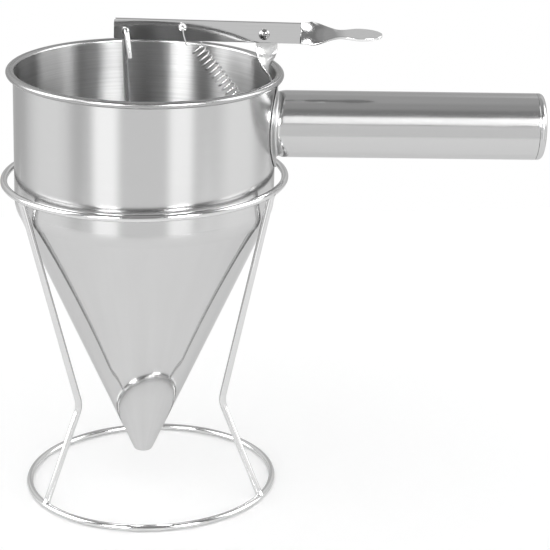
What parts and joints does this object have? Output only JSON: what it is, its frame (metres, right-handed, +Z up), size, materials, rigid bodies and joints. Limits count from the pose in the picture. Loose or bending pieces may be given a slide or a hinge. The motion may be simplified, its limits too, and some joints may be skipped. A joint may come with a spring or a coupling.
{
  "type": "sauce dispenser",
  "caption": "Hand-held steel dispensing funnel with a thumb lever that lifts a sprung rod valve, a side tube handle and a wire stand that it lifts out of.",
  "frame": {"origin": "on the table, at the centre of the stand's base ring", "axes": "+X along the handle away from the funnel, +Z up, +Y to the rear; the lever and the valve rod move in the XZ plane"},
  "size_m": [0.3099, 0.1642, 0.2816],
  "materials": {
    "bowl_steel": "polished outside, brushed inside",
    "polished_steel": "polished",
    "lever_steel": "polished strip",
    "wire_steel": "bright drawn wire",
    "spring_steel": "drawn wire",
    "fastener_steel": "bright"
  },
  "bodies": {
    "stand": {"stand_base_ring": "wire_steel", "stand_top_ring": "wire_steel", "stand_leg_front_left": "wire_steel", "stand_leg_front_right": "wire_steel", "stand_leg_rear": "wire_steel"},
    "funnel": {"funnel_bowl": "bowl_steel", "funnel_cone": "polished_steel", "handle_plate": "polished_steel", "handle_tube": "polished_steel", "handle_end_cap": "polished_steel", "lever_post": "lever_steel", "pivot_screw": "fastener_steel", "pivot_washer": "fastener_steel", "pivot_nut": "fastener_steel", "return_spring": "spring_steel"},
    "lever": {"lever": "lever_steel"},
    "valve": {"valve_rod": "wire_steel", "valve_plug": "polished_steel"}
  },
  "joints": [
    {"name": "funnel_lift", "type": "slide", "parent": "stand", "child": "funnel", "axis": [0, 0, 1], "range_m": [0, 0.19]},
    {"name": "lever_pivot", "type": "hinge", "parent": "funnel", "child": "lever", "pos_m": [0.06832, -0.0025, 0.2712], "axis": [0, 1, 0], "range_deg": [0, 15], "stiffness_Nm_per_rad": 0.62, "springref_deg": -12.95, "deforming": ["return_spring"]},
    {"name": "rod_pivot", "type": "hinge", "parent": "lever", "child": "valve", "pos_m": [-0.00903, -0.0025, 0.27423], "axis": [0, 1, 0], "range_deg": [-15, 0]}
  ],
  "couplings": [
    {"joint": "rod_pivot", "follows": "lever_pivot", "ratio": -0.9627}
  ]
}
